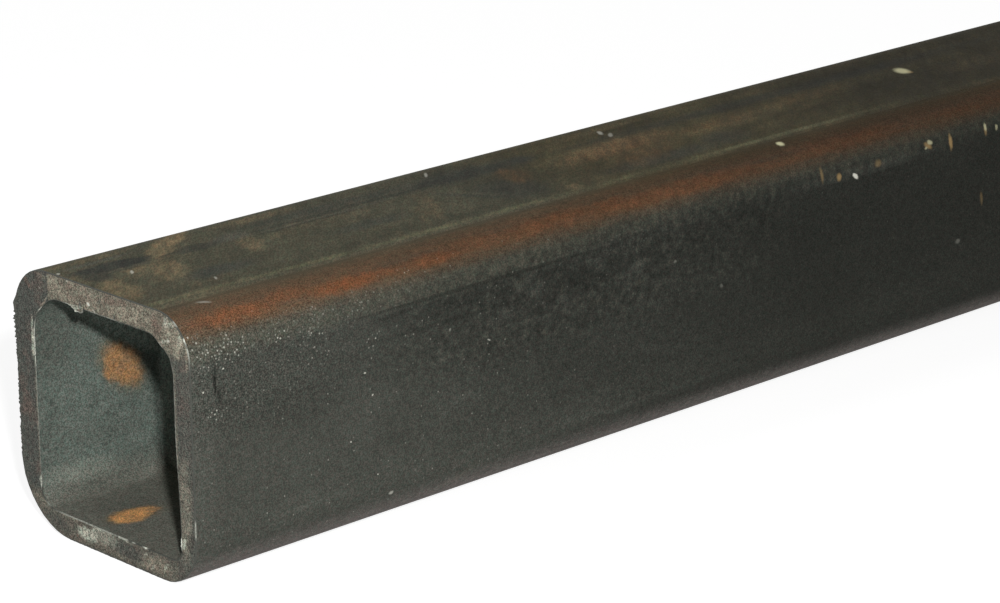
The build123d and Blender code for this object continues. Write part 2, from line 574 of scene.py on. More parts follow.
PALE_SMEARS = (
    (34.5, 26.3, 1.2, 0.4, -60, 0.4),
    (59.5, 86.0, 2.2, 0.9, -20, 0.9),
    (62.0, 84.6, 6.6, 0.8, -22, 0.4),
    (66.5, 47.4, 1.6, 0.4, 0, 0.3),
    (71.2, 49.5, 1.0, 0.6, 0, 0.35),
    (76.0, 59.0, 1.4, 0.5, 30, 0.3),
    (79.5, 48.6, 1.8, 0.7, -30, 0.4),
    (86.0, 60.0, 1.0, 0.5, 40, 0.3),
    (90.7, 52.0, 2.2, 0.25, 88, 0.5),
    (96.0, 55.4, 1.4, 0.4, -15, 0.3),
    (99.5, 57.0, 1.6, 0.4, 10, 0.35),
    (104.0, 49.6, 2.0, 0.35, 15, 0.3),
    (112.0, 55.7, 1.3, 0.5, 0, 0.5),
    (113.0, 47.6, 2.5, 0.35, 20, 0.3),
    (122.0, 53.4, 1.6, 0.4, 25, 0.35),
    (129.0, 48.2, 1.8, 0.4, 15, 0.25),
    (165.5, 44.2, 1.2, 0.6, 80, 0.5),
    (172.5, 41.8, 0.5, 0.5, 0, 0.6),
    (183.0, 45.5, 0.9, 0.6, 0, 0.4),
    (188.5, 62.5, 1.4, 0.5, 60, 0.25),
    (194.5, 45.2, 0.9, 0.6, 0, 0.5),
    (217.5, 60.0, 1.4, 0.6, 80, 0.3),
    (222.0, 45.5, 0.9, 0.6, 0, 0.5),
)
RUSTY_CHIPS = (
    (165.5, 44.6, 1.4, 0.4, 85, 0.35),
    (170.7, 46.0, 0.7, 0.6, 60, 0.7),
    (183.0, 45.5, 0.9, 0.7, 0, 0.3),
    (199.2, 44.8, 1.2, 0.5, 30, 0.6),
    (206.6, 45.4, 1.5, 0.5, 82, 0.75),
    (217.6, 60.0, 1.3, 0.4, 82, 0.25),
    (218.3, 45.2, 0.9, 0.4, 80, 0.4),
    (224.0, 14.8, 0.8, 1.0, 0, 0.8),
)
YELLOW_CHIPS = (
    (159.7, 34.9, 0.9, 0.8, -40, 0.9),
    (198.5, 45.2, 0.4, 0.3, 0, 0.4),
    (199.9, 44.2, 0.8, 0.4, 20, 0.5),
    (218.3, 44.3, 0.8, 0.4, 80, 0.5),
    (222.0, 45.0, 0.6, 0.4, 80, 0.4),
    (223.8, 13.2, 2.3, 1.5, -59, 0.85),
)
CHIPS = (
    (0.8, 3.4, 0.5, 0.3, -50, 0.6),
    (2.8, 51.6, 0.18, 0.15, 0, 0.8),
    (7.4, 48.3, 0.18, 0.15, 0, 0.9),
    (9.0, 34.6, 1.3, 0.35, 25, 0.3),
    (10.9, 11.9, 1.0, 0.3, -55, 0.7),
    (19.3, 25.4, 0.8, 0.25, -60, 0.5),
    (36.6, 69.3, 0.2, 0.15, 0, 0.7),
    (40.3, 57.0, 0.22, 0.14, 0, 0.7),
    (42.1, 61.6, 0.2, 0.15, 0, 0.7),
    (43.0, 77.3, 0.18, 0.15, 0, 0.7),
    (46.5, 82.0, 0.5, 0.3, 0, 0.5),
    (61.5, 53.7, 0.2, 0.3, 0, 0.2),
    (71.4, 57.9, 0.35, 0.16, 20, 0.5),
    (92.3, 1.6, 1.5, 0.3, -50, 0.5),
    (122.0, 53.5, 0.4, 0.25, 0, 0.15),
    (135.5, 61.5, 0.5, 0.35, 60, 0.12),
    (139.4, 3.4, 1.3, 0.5, -58, 0.55),
    (139.8, 6.0, 1.5, 0.45, -46, 0.4),
    (175.8, 46.8, 0.9, 0.4, 35, 1.2),
    (210.0, 68.0, 0.7, 0.5, 0, 0.15),
)
# Clusters of bright specks near the cut: grit painted at the brightness of its glints, as painted
# highlights.
SPARKLES = (
    (7.0, 45.0, 6.0, 2.6, 0, 0.9),
    (1.0, 41.5, 1.6, 2.4, 0, 1.0),
    (20.5, 45.2, 2.4, 1.2, 0, 0.9),
    (28.0, 47.6, 3.4, 1.6, 20, 0.8),
    (29.5, 50.4, 2.4, 1.2, 0, 0.8),
    (37.5, 45.8, 1.8, 0.8, 0, 0.7),
    (42.5, 51.6, 1.8, 1.2, 0, 0.8),
    (5.6, 56.2, 1.8, 1.6, 0, 0.8),
    (51.5, 40.2, 2.4, 0.8, 0, 0.6),
    (34.0, 43.5, 20.0, 2.4, 0, 0.25),
    (108.0, 46.5, 14.0, 2.6, 0, 0.08),
    (22.0, 52.0, 20.0, 7.0, 0, 0.1),
)


def mill_scale(tint):
    """The outside: mill scale with the weld's band, stains, rust along the upper corner and rubbed edges,
    with painted sheen on both corners, painted glints on specks, and painted shade darkening it away from
    the near cut.
    """
    paint = Finish("mill_scale")
    place = paint.place()
    skin = paint.girth()
    along = paint.part(skin, "X")
    around = paint.part(skin, "Y")
    drawn = paint.spread(place, (0.1, 1.0, 1.0))
    flat = paint.rise(around, 34.0, 33.0) * paint.rise(around, -6.0, -5.0)
    smeared = paint.mix(place, paint.drag(place, SMEAR_TURN, 3.0), flat)
    grain = paint.noise(smeared, 0.6, 3.0, 0.7)
    mottle = paint.noise(smeared, 1.8, 3.0, 0.6)
    cloud = paint.noise(paint.spread(place, (0.45, 1.0, 1.0)), 9.0, 3.0)
    smear = paint.noise(smeared, 3.0, 2.0)
    blotch = paint.noise(paint.spread(smeared, (0.7, 1.0, 1.0)), 6.0, 3.0, 0.6)
    streak = paint.noise(drawn, 1.4, 3.0, 0.6)
    patches = paint.rise(mottle, 0.36, 0.64)
    ragged = paint.stray(skin, 2.4, 1.2)
    wavy = around + (paint.noise(drawn, 3.0, 3.0) - 0.5) * 1.2 + (grain - 0.5) * 1.0

    top = paint.rise(wavy, 38.0, 34.5) * paint.rise(wavy, -10.0, -4.0)
    colour = paint.mix(tint.scale_top, tint.scale_brown, paint.rise(along, 85.0, 125.0))
    colour = paint.mix(tint.scale_side, colour, top)
    colour = paint.mix(colour, tint.cool, paint.spots(ragged, COOL_SMEARS, 0.6))
    stain = paint.spots(ragged, TAN_STAINS, 0.5) | paint.rise(cloud, 0.52, 0.7, 0.0, 0.2) * top
    colour = paint.mix(colour, tint.tan, stain * (0.5 + 0.5 * patches))
    brown = paint.spots(ragged, BROWN_STAINS, 0.6)
    colour = paint.mix(colour, tint.brown, brown * (0.5 + 0.5 * patches))
    colour = paint.mix(colour, tint.scuff_and_sheen, paint.spots(ragged, WELD_PALER, 0.5))
    colour = paint.mix(colour, tint.weld, paint.spots(ragged, WELD_DARKER, 0.3) * (0.8 + 0.2 * patches))
    pressed = around + (grain - 0.5) * 0.5 - paint.rise(along, 0.0, 55.0, 29.6, 30.7)
    pressed = paint.node("ShaderNodeCombineXYZ", sockets={0: along, 1: pressed})
    colour = paint.mix(colour, tint.pale, paint.spots(pressed, PRESSED, 0.7) * (0.6 + 0.4 * patches))

    scratched = paint.noise(paint.spread(skin, (1.0, 0.3, 1.0)), 2.2, 3.0)
    worn = wavy + (scratched - 0.5) * paint.rise(along, 60.0, 140.0, 2.0, 9.0)
    worn = worn + paint.rise(along, 75.0, 125.0, 0.0, 1.1)
    thin = paint.rise(along, 80.0, 140.0, 0.5, 0.25)
    # A lighter band along the upper corner: partly rubbed scale, partly a painted sheen where the lamp's
    # highlight falls on the corner.
    corner_rub_and_sheen = paint.rise(wavy, 38.0, 41.5) * paint.rise(worn, 47.6, 44.2) * (thin + (0.95 - thin) * patches)
    colour = paint.mix(colour, tint.scuff_and_sheen, corner_rub_and_sheen)
    haze = paint.rise(wavy, 31.0, 37.0) * paint.rise(wavy, 43.8, 40.2)
    haze = haze * paint.rise(streak, 0.3, 0.65, 0.65, 0.95) * paint.rise(along, 90.0, 170.0, 1.0, 0.8)
    colour = paint.mix(colour, tint.rust_haze, haze)
    core = paint.band(wavy, 38.0, 40.4, 2.0) * paint.rise(streak, 0.4, 0.62, 0.1, 0.35)
    core = core | paint.spots(ragged, RUST_BRIGHTER, 0.65)
    colour = paint.mix(colour, tint.rust, core * (0.56 + 0.2 * patches))

    colour = paint.mix(colour, tint.scuff_and_sheen, paint.spots(ragged, PALE_SMEARS, 0.5))
    flecks = paint.band(wavy, 44.0, 62.0, 8.0) * paint.band(along, 50.0, 150.0, 30.0)
    colour = paint.mix(colour, tint.scuff_and_sheen, flecks * paint.rise(grain, 0.55, 0.7, 0.0, 0.4))
    colour = paint.mix(colour, tint.scuff_and_sheen, flecks * paint.rise(mottle, 0.54, 0.66, 0.0, 0.3))
    dark = paint.spots(skin, DARK_STREAKS, 0.4)
    colour = paint.mix(colour, tint.soot, dark * (0.5 + 0.5 * patches))

    # Darker away from the near cut: partly paler, dustier scale near the cut, partly painted shade that
    # stands in for the lamp's light falling off along the tube, strongest on the far top.
    top_level = paint.rise(along, 35.0, 62.0, 0.96, 0.9) * paint.rise(along, 80.0, 100.0, 1.0, 0.87)
    top_level = top_level * paint.rise(along, 140.0, 225.0, 1.0, 0.4)
    corner_level = paint.rise(along, 22.0, 100.0, 0.9, 0.72) * paint.rise(along, 100.0, 230.0, 1.0, 0.7)
    off_cut = along - paint.rise(around, 55.0, 80.0, 0.0, 45.0)
    side_level = paint.rise(off_cut, 30.0, 75.0, 1.0, 0.63) * paint.rise(around, 53.0, 74.0, 0.88, 1.0)
    side_level = side_level * paint.rise(along, 105.0, 165.0, 1.0, 0.72)
    level = corner_level + (top_level - corner_level) * paint.rise(around, 34.0, 30.0)
    level = level + (side_level - level) * paint.rise(worn, 44.0, 48.5)
    level = level * (1.0 - paint.spots(ragged, DARKER, 0.6)) * (1.0 + paint.spots(ragged, LIGHTER, 0.6))
    colour = paint.dim(colour, level)
    # A lighter band along the lower corner: a painted reflection of the pale floor.
    low_corner_reflection_mask = paint.rise(wavy, 81.4, 87.2) * paint.rise(around, 100.0, 96.0)
    colour = paint.mix(colour, tint.low_corner_reflection, low_corner_reflection_mask * (0.85 + 0.15 * patches))
    rough = 0.7 + 0.4 * paint.rise(along, 40.0, 70.0) - 0.25 * paint.rise(along, 110.0, 160.0)
    rough = rough * (1.0 - 0.3 * flat)
    level = (1.0 + (grain - 0.5) * rough) * (1.0 + (mottle - 0.5) * rough * 0.7) * (0.85 + 0.3 * cloud)
    level = level * (1.0 + (smear - 0.5) * flat * 0.8) * (1.0 + (mottle - 0.5) * flecks)
    level = level * (1.0 + (blotch - 0.5) * flat * paint.rise(along, 60.0, 110.0, 0.4, 1.2))
    near_cut = paint.rise(along, 48.0, 8.0) * paint.band(around, 37.0, 60.0, 12.0)
    colour = paint.grains(paint.dim(colour, level), smeared, 0.58 + 0.4 * near_cut)

    # Bright specks: grit painted as glints of the lamp, a painted highlight, fewer away from the cut.
    sparks = paint.spots(skin, SPARKLES, 0.8)
    turned = paint.drag(skin, 31.0, 1.0)
    grit_glints = paint.specks(skin, 0.9, 0.2, 0.3) * near_cut * 0.3
    grit_glints = grit_glints | paint.specks(skin, 2.1, 0.22, 0.3) * paint.rise(along, 50.0, 130.0, 0.3, 0.06)
    grit_glints = grit_glints | paint.specks(skin, 1.15, 0.26, 0.3) * sparks
    grit_glints = grit_glints | paint.specks(turned, 0.8, 0.22, 0.35) * sparks
    grit_glints = grit_glints * paint.rise(around, 37.0, 42.0)
    chip_place = paint.stray(skin, 0.7, 0.3)
    colour = paint.mix(colour, tint.brown_chip, paint.spots(chip_place, RUSTY_CHIPS, 0.6))
    colour = paint.mix(colour, tint.yellow_chip, paint.spots(chip_place, YELLOW_CHIPS, 0.5))
    colour = paint.mix(colour, tint.chips_and_glints, grit_glints | paint.spots(chip_place, CHIPS, 0.5))

    roughness = 0.5 + 0.2 * mottle + 0.15 * core
    relief = grain * 0.6 + mottle * 0.5 + streak * 0.3
    return paint.finish(colour, roughness, relief, 0.12, 0.02)


# Marks in the bore, by where they lie along from the near cut and up from the floor.
BORE_RUST = (
    (20.7, 27.1, 5.1, 3.0, -43, 1.0),
    (18.6, 26.2, 2.4, 1.9, 0, 1.0),
)
BORE_RIM = ((20.4, 26.8, 6.7, 3.9, -43, 0.6),)
BORE_DARK = (
    (3.0, 36.0, 6.5, 8.0, 0, 0.75),
    (10.0, 40.0, 6.0, 4.5, 0, 0.6),
    (10.0, 34.5, 5.0, 3.6, -40, 0.3),
    (3.0, 20.0, 3.0, 9.0, 0, 0.3),
    (16.0, 7.0, 12.0, 2.2, 6, 0.5),
    (14.0, 15.5, 10.0, 1.6, -8, 0.25),
)
BORE_PALE = ((9.0, 9.0, 8.0, 1.8, -4, 0.3),)
# Where the mouth's shadow falls in the bore, by along and up: the colour there is lightened, painted light
# that fills the shadow.
BORE_SHADOW_LIGHTENED = (
    (36.0, 18.0, 7.0, 34.0, 0, 1.0),
    (23.6, 41.9, 25.0, 10.0, -34.6, 0.68),
)
# The same on the floor of the bore, by along and towards the back.
FLOOR_RUST = (
    (7.8, 3.5, 3.8, 2.9, 5, 1.0),
    (11.4, 3.9, 2.6, 1.8, 0, 0.75),
)
FLOOR_RIM = ((8.8, 3.7, 6.6, 3.2, 0, 0.6),)
FLOOR_DARK = (
    (13.0, 8.0, 5.0, 4.0, 0, 0.35),
    (9.0, 10.0, 4.0, 3.0, 0, 0.35),
)


def bore_scale(tint):
    """The bore: even green-grey scale with two rust spots near the mouth, and more further in, lightened as
    painted light where the mouth's shadow falls, with the floor's rust painted brighter for the light.
    """
    paint = Finish("bore_scale")
    place = paint.place()
    ragged = paint.stray(place, 1.6, 1.0)
    x = paint.part(place, "X") - CAD_LOW.x / MM
    y = paint.part(place, "Y")
    z = paint.part(place, "Z")
    grain = paint.noise(place, 0.7, 3.0, 0.7)
    mottle = paint.noise(place, 2.2, 3.0, 0.6)
    cloud = paint.noise(paint.spread(place, (0.4, 1.0, 1.0)), 8.0, 2.0)
    patches = paint.rise(mottle, 0.36, 0.64)
    ragged_x = paint.part(ragged, "X") - CAD_LOW.x / MM
    ragged_y = paint.part(ragged, "Y")
    wall_place = paint.node("ShaderNodeCombineXYZ", sockets={0: ragged_x, 1: paint.part(ragged, "Z")})
    floor_place = paint.node("ShaderNodeCombineXYZ", sockets={0: ragged_x, 1: ragged_y})
    back = paint.rise(y, 15.0, 19.0)
    floor = paint.rise(z, 10.0, 5.0)
    colour = paint.mix(tint.bore_scale, tint.bore_floor, floor)
    dark = paint.spots(wall_place, BORE_DARK, 0.7) * back | paint.spots(floor_place, FLOOR_DARK, 0.6) * floor
    colour = paint.mix(colour, tint.bore_dull, dark * (0.6 + 0.4 * patches))
    colour = paint.mix(colour, tint.cut_pale, paint.spots(wall_place, BORE_PALE, 0.7) * back * 0.5)
    rim = paint.spots(wall_place, BORE_RIM, 0.35) * back | paint.spots(floor_place, FLOOR_RIM, 0.35) * floor
    colour = paint.mix(colour, tint.bore_rim, rim * (0.4 + 0.6 * patches))
    rust = paint.spots(wall_place, BORE_RUST, 0.35) * back
    deep = paint.rise(x, 60.0, 120.0) * paint.rise(cloud, 0.55, 0.68, 0.0, 0.7)
    colour = paint.mix(colour, tint.bore_rust, (rust | deep) * (0.6 + 0.4 * patches))
    # The floor's rust, with its colour painted brighter to stand in for light on the floor.
    rust = paint.spots(floor_place, FLOOR_RUST, 0.35) * floor
    colour = paint.mix(colour, tint.floor_rust_and_light, rust * (0.7 + 0.3 * patches))
    # Painted light: the colour is lightened where the mouth's shadow falls.
    shadow_lightened = paint.spots(wall_place, BORE_SHADOW_LIGHTENED, 0.15) * paint.rise(y, 5.0, 18.0)
    level = (0.5 + grain) * (0.7 + 0.6 * mottle) * (0.85 + 0.3 * cloud) * (1.0 + 1.6 * shadow_lightened)
    colour = paint.grains(paint.dim(colour, level), place, 0.75)
    roughness = 0.55 + 0.2 * mottle
    return paint.finish(colour, roughness, grain + mottle * 0.6, 0.12, 0.05)


# Marks on the near cut, by where they lie towards the back and up from the floor.
CUT_LIGHT = (
    (13.2, 49.3, 1.8, 1.0, 8, 0.75),
    (11.5, 48.3, 3.0, 1.6, 10, 0.6),
    (4.0, 49.4, 7.0, 1.0, 4, 0.45),
    (8.0, 47.0, 6.5, 0.7, 6, 0.5),
    (0.0, 47.3, 3.5, 0.8, 0, 0.4),
    (-8.5, 48.1, 4.6, 1.4, -3, 0.75),
    (-3.2, 47.6, 2.0, 1.0, 0, 0.5),
    (-12.3, 50.2, 1.0, 0.6, 0, 0.7),
    (-14.0, 48.3, 0.7, 0.5, 0, 0.7),
    (16.6, 49.7, 1.5, 0.35, 10, 0.4),
    (-20.4, 47.6, 2.2, 1.5, -35, 1.0),
    (-22.3, 45.0, 1.5, 1.9, 20, 0.9),
    (-22.6, 15.0, 1.7, 9.0, 2, 0.55),
    (-21.0, 30.0, 0.35, 11.0, 0, 0.5),
    (-24.6, 43.8, 0.25, 2.6, 0, 0.8),
    (-23.5, 45.4, 0.3, 0.8, 30, 0.7),
    (-14.0, 2.4, 4.4, 1.4, -6, 0.5),
    (-3.6, 1.0, 1.2, 0.4, 0, 0.5),
    (-10.2, 1.2, 1.4, 0.4, 0, 0.6),
    (13.0, 4.7, 3.5, 0.35, 3, 0.6),
    (6.0, 4.9, 4.5, 0.45, 0, 0.6),
    (18.5, 6.5, 1.6, 0.9, -60, 0.4),
    (19.9, 22.0, 0.3, 11.0, 0, 0.45),
    (16.8, 44.2, 2.8, 0.25, -48, 0.8),
)
# The brightest marks of the cut. Those along the inner edges at the back and front are partly painted
# highlights where the lips and burrs catch the lamp.
CUT_PALE = (
    (6.4, 2.5, 2.9, 1.2, 4, 0.85),
    (3.6, 3.6, 2.6, 1.2, -20, 0.55),
    (0.5, 3.2, 3.0, 1.4, 0, 0.3),
    (20.2, 36.0, 0.5, 2.6, 0, 1.0),
    (20.2, 39.5, 0.35, 1.8, 0, 0.7),
    (19.8, 9.4, 0.5, 1.1, 0, 1.0),
    (7.2, 45.9, 2.2, 0.45, -8, 0.7),
    (-19.2, 49.4, 1.0, 0.5, -60, 0.9),
    (-21.7, 49.1, 1.1, 0.3, -30, 0.9),
    (-19.6, 48.6, 1.6, 0.5, -20, 0.5),
    (-22.8, 46.6, 1.0, 0.6, -50, 0.5),
    (-17.6, 44.9, 3.0, 0.25, -31, 0.6),
    (-22.1, 8.7, 0.5, 0.9, 20, 1.0),
    (-10.9, 3.4, 0.4, 0.3, 0, 0.6),
    (-12.8, 1.6, 0.7, 0.35, -50, 0.5),
    (-16.6, 2.7, 0.9, 0.35, -45, 0.45),
    (-4.2, 4.6, 1.4, 0.2, 6, 0.9),
)
CUT_DARK = (
    (22.5, 41.0, 2.0, 5.0, 0, 0.2),
    (-22.8, 32.0, 1.8, 6.5, 0, 0.25),
    (-5.4, 2.6, 4.6, 1.5, 0, 0.72),
    (5.5, 46.6, 0.5, 0.8, 0, 1.0),
    (-0.3, 48.7, 0.5, 0.5, 0, 0.6),
    (-4.6, 46.7, 0.4, 0.4, 0, 0.7),
    (15.4, 2.6, 3.6, 1.4, 10, 0.6),
    (-24.0, 46.6, 0.2, 0.2, 0, 0.9),
    (24.2, 8.4, 0.35, 0.35, 0, 0.9),
    (-23.4, 44.6, 0.8, 1.2, 0, 0.4),
    (-18.0, 3.6, 1.6, 1.0, 0, 0.3),
    (0.0, 0.15, 16.0, 0.2, 0, 0.6),
    (-12.5, 4.0, 1.6, 0.6, 0, 0.35),
)
CUT_RED = (
    (-16.6, 48.0, 1.6, 1.4, -60, 0.6),
    (21.4, 47.8, 1.6, 0.5, 45, 0.7),
    (8.8, 49.3, 0.9, 0.6, 0, 0.45),
    (-7.0, 50.1, 1.4, 0.5, 0, 0.5),
    (-16.8, 5.0, 1.8, 0.5, 0, 0.5),
    (9.4, 1.5, 0.4, 0.4, 0, 0.8),
    (23.0, 24.0, 1.2, 2.6, 0, 0.35),
    (-22.6, 34.0, 1.3, 4.0, 0, 0.12),
    (-3.0, 49.4, 2.0, 0.7, 0, 0.3),
    (12.0, 0.6, 4.0, 0.4, -4, 0.3),
)
CUT_CHIPS = (
    (-24.4, 46.9, 0.35, 0.4, 20, 1.2),
    (2.9, 47.4, 0.4, 0.3, 20, 1.2),
    (1.5, 46.5, 0.4, 0.2, 0, 0.5),
    (11.6, 51.1, 0.3, 0.2, 10, 0.7),
    (9.0, 50.5, 0.3, 0.2, 0, 0.4),
    (-19.7, 45.7, 0.3, 0.25, 0, 0.8),
    (17.4, 47.3, 0.4, 0.15, 20, 0.25),
    (-10.8, 5.0, 0.3, 0.5, 0, 1.0),
)


def cut_steel(tint):
    """The cut ends: sawn steel that has dulled unevenly."""
    paint = Finish("cut_steel")
    place = paint.place()
    near = paint.rise(paint.part(place, "X"), 0.0, -1.0)
    y = paint.part(place, "Y")
    z = paint.part(place, "Z")
    grain = paint.noise(place, 0.55, 3.0, 0.7)
    mottle = paint.noise(place, 1.6, 3.0, 0.6)
    cloud = paint.noise(place, 5.0, 2.0)
    patches = paint.rise(mottle, 0.38, 0.62)
    ragged = paint.stray(place, 1.0, 0.5)
    face = paint.node("ShaderNodeCombineXYZ",
                      sockets={0: paint.part(ragged, "Y"), 1: paint.part(ragged, "Z")})
    back = paint.rise(y, 14.85, 15.1) * paint.rise(z, 5.0, 9.0)
    front = paint.rise(y, -19.6, -20.4) * paint.rise(z, 44.5, 42.5)
    low = paint.rise(z, 7.0, 5.0)
    dull = (back * 0.95 | front * 0.85 | low * 0.45) * near
    colour = paint.mix(tint.cut_steel, tint.cut_dark, dull)
    colour = paint.mix(colour, tint.cut_red, paint.rise(cloud, 0.52, 0.66, 0.0, 0.25))
    patch = 0.55 + 0.45 * patches
    colour = paint.mix(colour, tint.cut_light, paint.spots(face, CUT_LIGHT, 0.45) * near * patch)
    colour = paint.mix(colour, tint.cut_red, paint.spots(face, CUT_RED, 0.5) * near * patch)
    colour = paint.mix(colour, tint.cut_dark, paint.spots(face, CUT_DARK, 0.4) * near)
    colour = paint.mix(colour, tint.cut_pale, paint.spots(face, CUT_PALE, 0.35) * near * patch)
    level = (0.4 + 1.2 * grain) * (0.55 + 0.9 * mottle)
    colour = paint.grains(paint.dim(colour, level), place, 1.15)
    colour = paint.mix(colour, tint.chips_and_glints, paint.spots(face, CUT_CHIPS, 0.3) * near)
    kerf = paint.noise(paint.spread(place, (1.0, 0.05, 1.0)), 0.25, 1.0)
    return paint.finish(colour, 0.45 + 0.25 * mottle, grain + kerf * 0.6 + mottle * 0.6, 0.1, 0.08)


# Where the burr is heavy, by towards the back and up, with reach in millimetres and strength.
BURRS = (
    (20.0, 37.0, 8.5, 0.75),
    (20.0, 9.0, 2.0, 0.9),
    (25.4, 41.0, 5.0, 1.0),
    (25.4, 22.0, 22.0, 0.4),
    (-10.8, 4.8, 1.2, 1.0),
    (-8.0, 4.8, 1.6, 0.7),
    (-21.6, 8.4, 1.4, 0.45),
    (-20.6, 24.0, 14.0, 0.15),
    (-24.4, 46.8, 1.0, 0.9),
    (-8.0, 46.0, 7.0, 0.3),
    (6.5, 46.0, 2.5, 0.7),
)
LIGHT_BURR = 0.1

# Where the rims are bright, by towards the back and up: ovals. The brightness is partly bare burr steel and
# partly a painted highlight where the burr catches the lamp.
BRIGHT_RIMS = (
    (19.9, 36.6, 0.9, 5.0, 0, 1.0),
    (17.6, 43.2, 3.2, 0.8, 45, 0.7),
    (20.0, 24.0, 0.8, 12.0, 0, 0.4),
    (20.0, 9.3, 0.8, 1.3, 0, 1.0),
    (-20.4, 31.0, 0.8, 10.0, 0, 0.4),
    (-22.0, 8.4, 1.0, 1.4, 0, 1.0),
    (-10.8, 5.2, 0.7, 0.9, 0, 1.0),
    (-7.4, 5.2, 0.7, 0.6, 0, 0.8),
    (-4.2, 4.8, 1.5, 0.4, 0, 0.9),
    (11.0, 4.9, 4.5, 0.6, 0, 0.5),
    (4.0, 5.0, 9.0, 0.6, 0, 0.6),
    (7.6, 45.8, 2.6, 0.8, 0, 0.8),
    (-1.0, 46.0, 4.5, 0.5, 0, 0.3),
    (-17.5, 44.6, 3.2, 0.6, -32, 0.6),
    (17.0, 6.6, 3.6, 0.8, -48, 0.3),
    (-24.7, 44.0, 0.6, 3.0, 0, 0.5),
    (-24.4, 46.9, 0.6, 0.6, 0, 1.0),
    (-21.8, 49.4, 1.4, 0.6, -30, 0.5),
    (-25.4, 12.0, 0.6, 1.6, 0, 0.4),
)


def burr_steel(tint):
    """The rims of the cuts: bare bright steel on the burr, painted pale as a highlight where it catches the
    lamp, dulled between.
    """
    paint = Finish("burr_steel")
    place = paint.place()
    grain = paint.noise(place, 0.5, 3.0, 0.7)
    y = paint.part(place, "Y")
    z = paint.part(place, "Z")
    near = paint.rise(paint.part(place, "X"), 0.0, -1.0)
    face = paint.node("ShaderNodeCombineXYZ", sockets={0: y, 1: z})
    bright = paint.spots(face, BRIGHT_RIMS, 0.4) * near
    bright = bright * paint.rise(grain, 0.3, 0.6, 0.35, 1.0)
    colour = paint.mix(tint.cut_dark, tint.burr, bright)
    colour = paint.dim(colour, 0.5 + grain)
    return paint.finish(colour, 0.4 + 0.2 * grain, grain, 0.05, 0.1)


# ---------------------------------------------------------------- the tube

# How finely the section is divided: cuts round a corner, along a flat and through the wall. The tool that
# makes the cuts takes at most 100.
CORNER_CUTS = 10
FLAT_CUTS = 100
WALL_CUTS = 5

# The rings along the tube: from a cut inwards, and about how far apart they are between.
FINE_STEPS = [0.6 * MM, 0.8 * MM, 1.2 * MM, 1.8 * MM, 2.6 * MM, 4.0 * MM, 6.0 * MM]
COARSE_STEP = 40.0 * MM

# The UV map that holds how far along and round the tube a point of the skin lies.
GIRTH = "girth"


def outline(name, across, up, radii):
    """One closed loop of the section at the near end: a rectangle with a radius at each corner."""
    bpy.ops.object.select_all(action="DESELECT")
    bpy.ops.mesh.primitive_plane_add(size=1.0, location=MOUTH, rotation=(0.0, math.pi / 2, 0.0))
    piece = bpy.context.object
    piece.name = name
    piece.scale = (up, across, 1.0)
    bpy.ops.object.transform_apply(location=True, rotation=True, scale=True)
    bpy.ops.object.mode_set(mode="EDIT")
    for (side, level), radius in zip(CORNERS, radii):
        corner = MOUTH + Vector((0.0, side * across / 2, level * up / 2))
        pick(piece, "VERT", nearest(piece, corner))
        bpy.ops.mesh.bevel(offset=radius, segments=CORNER_CUTS, affect="VERTICES")
    bpy.ops.mesh.select_all(action="SELECT")
    bpy.ops.mesh.delete(type="ONLY_FACE")
    bpy.ops.object.mode_set(mode="OBJECT")
    return piece


def off_middle(edge):
    """From the middle of the mouth to the middle of an edge."""
    return (edge.verts[0].co + edge.verts[1].co) / 2 - MOUTH


def section(stock):
    """The cut face at the near end: a flat ring of metal, divided finely enough for the seam and edges."""
    ring = outline("rolled_tube", stock.width, stock.height, stock.outer_radii)
    hollow = outline("hollow", stock.width - 2 * stock.wall, stock.height - 2 * stock.wall,
                     stock.inner_radii)
    work_on(ring)
    hollow.select_set(True)
    bpy.ops.object.join()
    bpy.ops.object.mode_set(mode="EDIT")
    for side, level in CORNERS:
        pick(ring, "EDGE", lambda edge: edge.calc_length() < stock.wall
             and off_middle(edge).y * side > 0 and off_middle(edge).z * level > 0)
        bpy.ops.mesh.bridge_edge_loops()
    inside = min(stock.width, stock.height) / 2 - 1.5 * stock.wall
    for side, level in ((0, 1), (0, -1), (1, 0), (-1, 0)):
        pick(ring, "EDGE", lambda edge: edge.is_wire
             and off_middle(edge).y * side + off_middle(edge).z * level > inside)
        bpy.ops.mesh.bridge_edge_loops()
    pick(ring, "EDGE", lambda edge: edge.is_boundary and edge.calc_length() > 2 * stock.wall)
    bpy.ops.mesh.subdivide(number_cuts=FLAT_CUTS)
    pick(ring, "EDGE", lambda edge: not edge.is_boundary)
    bpy.ops.mesh.subdivide(number_cuts=WALL_CUTS)
    return ring


def raise_seam(ring, stock):
    """Swells the underside of the top wall into the weld flash."""
    across = stock.width / 2 - stock.seam_from_back
    crown = MOUTH + Vector((0.0, across, stock.height / 2 - stock.wall))
    pick(ring, "VERT", nearest(ring, crown))
    bpy.ops.transform.translate(value=(0.0, 0.0, -stock.seam_height), use_proportional_edit=True,
                                proportional_edit_falloff="SPHERE",
                                proportional_size=stock.seam_width / 2)


def steps_along(length):
    """How far each new ring of the tube is drawn out: fine at both cuts, coarse between."""
    plain = length - 2 * sum(FINE_STEPS)
    count = round(plain / COARSE_STEP)
    return FINE_STEPS + [plain / count] * count + FINE_STEPS[::-1]


def draw_tube(stock):
    """The tube's closed mesh: the cut face at the near end drawn out along X."""
    tube = section(stock)
    raise_seam(tube, stock)
    bpy.ops.mesh.select_mode(type="FACE")
    bpy.ops.mesh.select_all(action="SELECT")
    for step in steps_along(stock.length):
        bpy.ops.mesh.extrude_region_move(TRANSFORM_OT_translate={"value": (step, 0.0, 0.0)})
    bpy.ops.mesh.select_all(action="SELECT")
    bpy.ops.mesh.normals_make_consistent(inside=False)
    return tube


